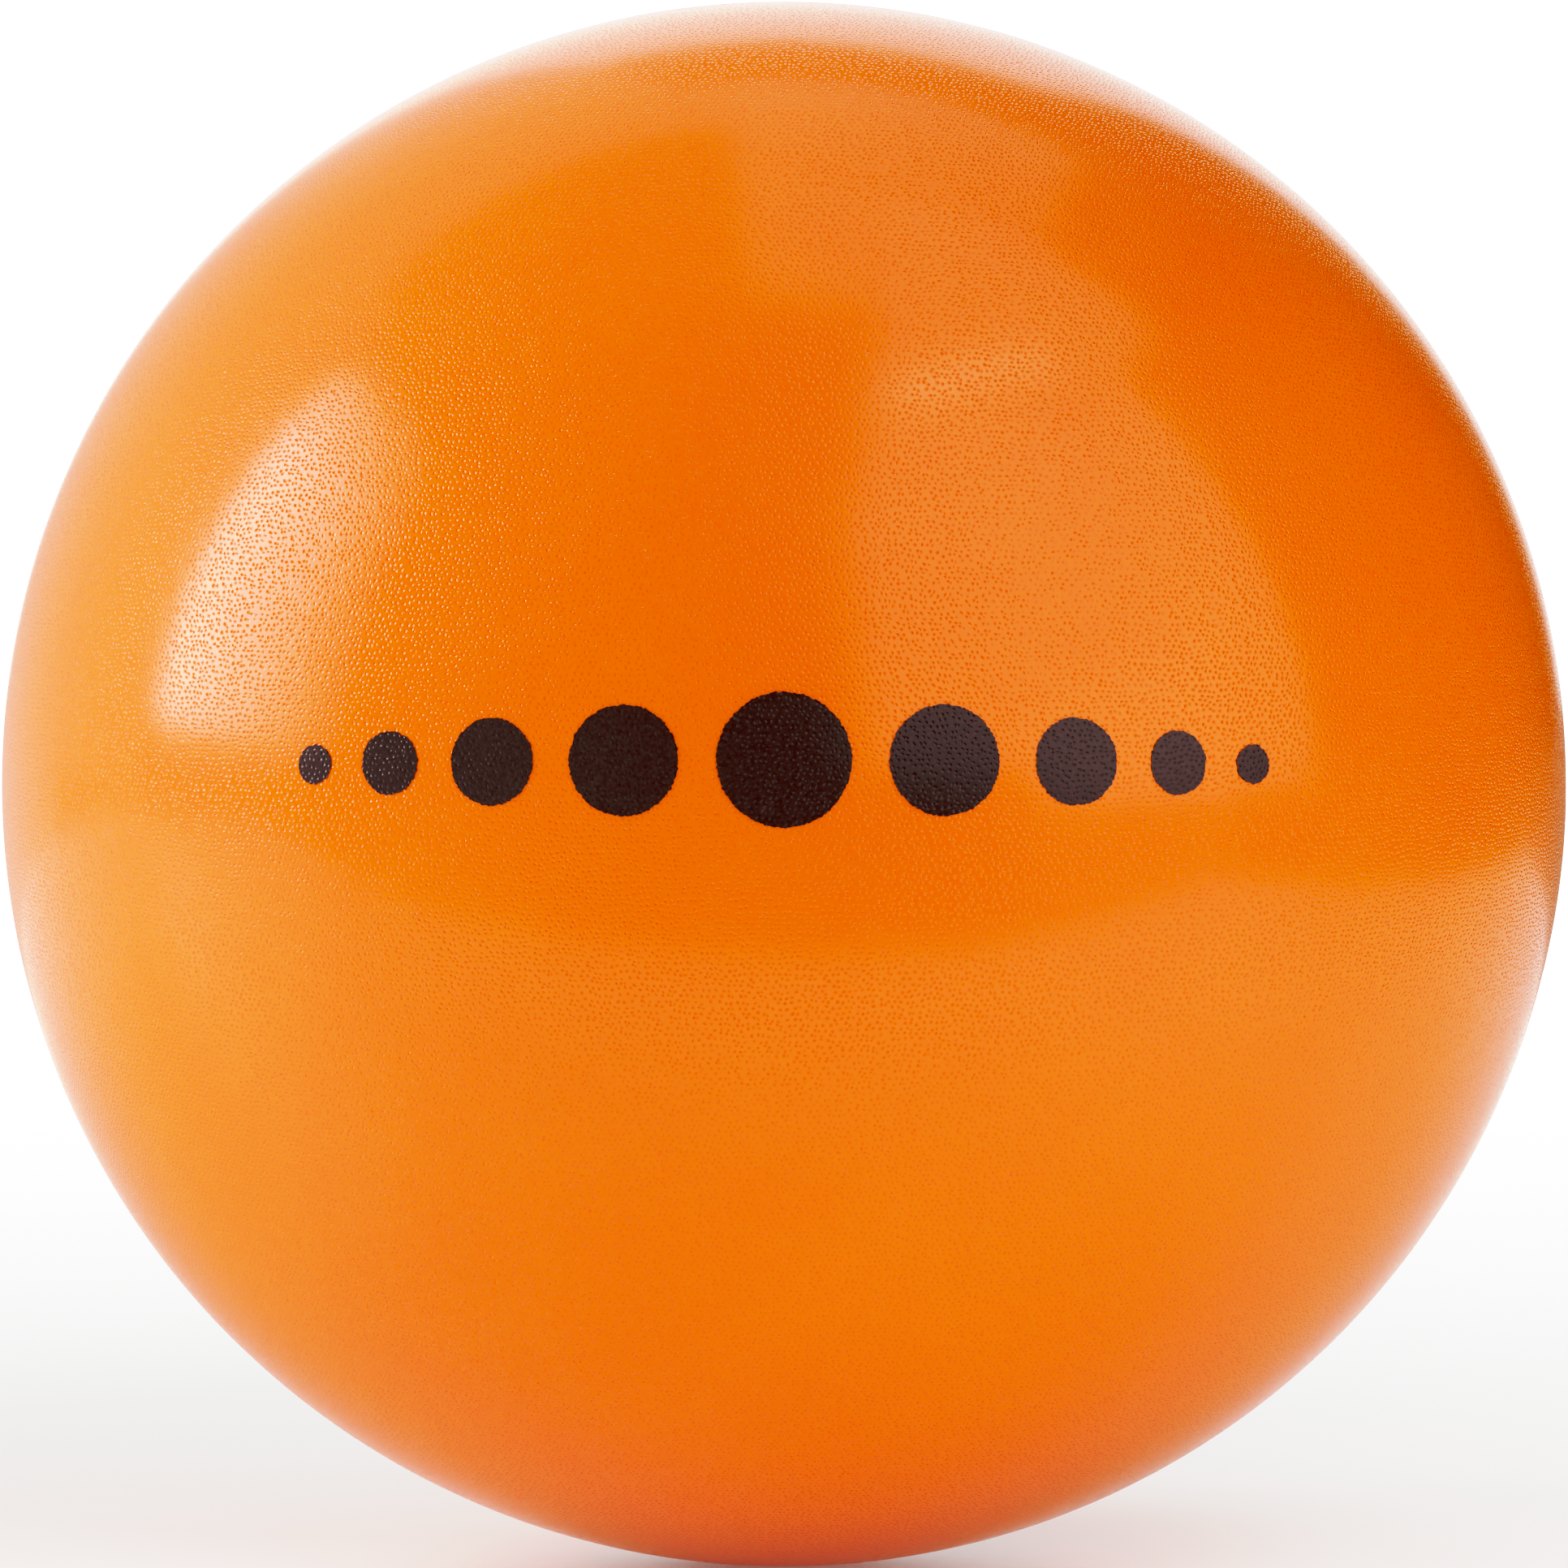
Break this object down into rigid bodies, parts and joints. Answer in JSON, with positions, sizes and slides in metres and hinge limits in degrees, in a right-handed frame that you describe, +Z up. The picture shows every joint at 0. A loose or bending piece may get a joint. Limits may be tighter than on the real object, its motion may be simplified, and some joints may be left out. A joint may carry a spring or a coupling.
{
  "type": "foam hockey ball",
  "caption": "Soft round foam ball for indoor and street hockey: a foam core in a finely pitted orange skin, with a printed row of dots in front and a sealed pour gate behind.",
  "frame": {"origin": "centre of the ball", "axes": "+Z up, the printed dots face -Y, +Y runs along the mould axis to the pour gate, so the parting line lies in the XZ plane"},
  "size_m": [0.065, 0.065, 0.065],
  "materials": {
    "soft_foam": "open fine-celled polyurethane foam, matt",
    "dense_skin": "moulded polyurethane foam skin, finely pitted, satin",
    "sealing_dab": "brushed-on polyurethane coat, smooth, satin",
    "print_ink": "pad-printed ink film, dark brown-black, satin"
  },
  "bodies": {
    "root": {"foam_core": "soft_foam", "front_skin": "dense_skin", "rear_skin": "dense_skin", "gate_seal": "sealing_dab", "printed_mark": "print_ink"}
  },
  "joints": []
}
